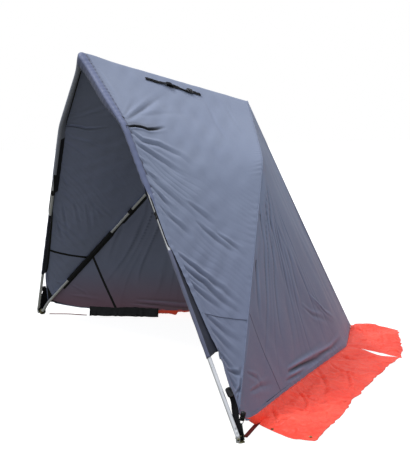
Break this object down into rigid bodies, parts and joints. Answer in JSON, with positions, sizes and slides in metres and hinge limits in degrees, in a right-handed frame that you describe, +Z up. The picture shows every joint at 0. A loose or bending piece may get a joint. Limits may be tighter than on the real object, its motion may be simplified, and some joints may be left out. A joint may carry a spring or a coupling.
{
  "type": "beach shelter",
  "caption": "Open-fronted beach shelter: hinged pole hoops carry a fabric canopy, back walls close it to the ground, and flaps outside the walls take stones or sand.",
  "frame": {"origin": "centre of the footprint's bounding box, on the ground", "axes": "+Z up, the opening faces -Y, +X along the width, to the right as seen from in front"},
  "size_m": [2.676, 1.7078, 1.4851],
  "materials": {
    "aluminium_tube": "satin drawn tube",
    "black_plastic": "moulded",
    "bracket_steel": "plated and weathered",
    "sleeve_cloth": "black woven",
    "canopy_cloth": "coated polyester",
    "wall_cloth": "coated polyester",
    "flap_cloth": "coral polyester",
    "black_webbing": "woven webbing",
    "ground_webbing": "woven webbing"
  },
  "bodies": {
    "rear_frame": {"rear_apex_fitting": "black_plastic", "rear_knee_left": "black_plastic", "rear_roof_pole_left": "aluminium_tube", "rear_leg_upper_left": "aluminium_tube", "rear_leg_collar_left": "black_plastic", "rear_leg_lower_left": "aluminium_tube", "rear_sleeve_left": "sleeve_cloth", "rear_knee_right": "black_plastic", "rear_roof_pole_right": "aluminium_tube", "rear_leg_upper_right": "aluminium_tube", "rear_leg_collar_right": "black_plastic", "rear_leg_lower_right": "aluminium_tube", "rear_sleeve_right": "sleeve_cloth", "foot_bracket_left": "bracket_steel", "canopy_left": "canopy_cloth", "side_wall_left": "wall_cloth", "back_wall_left": "wall_cloth", "side_flap_left": "flap_cloth", "rear_flap_left": "flap_cloth", "foot_strap_left": "black_webbing", "ground_strap_left": "ground_webbing", "foot_bracket_right": "bracket_steel", "canopy_right": "canopy_cloth", "side_wall_right": "wall_cloth", "back_wall_right": "wall_cloth", "side_flap_right": "flap_cloth", "rear_flap_right": "flap_cloth", "foot_strap_right": "black_webbing", "ground_strap_right": "ground_webbing", "carry_handle": "black_webbing", "handle_buckle": "black_plastic"},
    "front_hoop": {"front_apex_fitting": "black_plastic", "front_knee_left": "black_plastic", "front_roof_pole_left": "aluminium_tube", "front_leg_upper_left": "aluminium_tube", "front_leg_collar_left": "black_plastic", "front_leg_lower_left": "aluminium_tube", "front_sleeve_left": "sleeve_cloth", "front_knee_right": "black_plastic", "front_roof_pole_right": "aluminium_tube", "front_leg_upper_right": "aluminium_tube", "front_leg_collar_right": "black_plastic", "front_leg_lower_right": "aluminium_tube", "front_sleeve_right": "sleeve_cloth"}
  },
  "joints": [
    {"name": "front_hoop_fold", "type": "hinge", "parent": "rear_frame", "child": "front_hoop", "pos_m": [0, -0.7349, 0.018], "axis": [-1, 0, 0], "range_deg": [0, 26], "deforming": ["canopy_left", "canopy_right", "foot_strap_left", "foot_strap_right", "carry_handle", "handle_buckle"]}
  ]
}
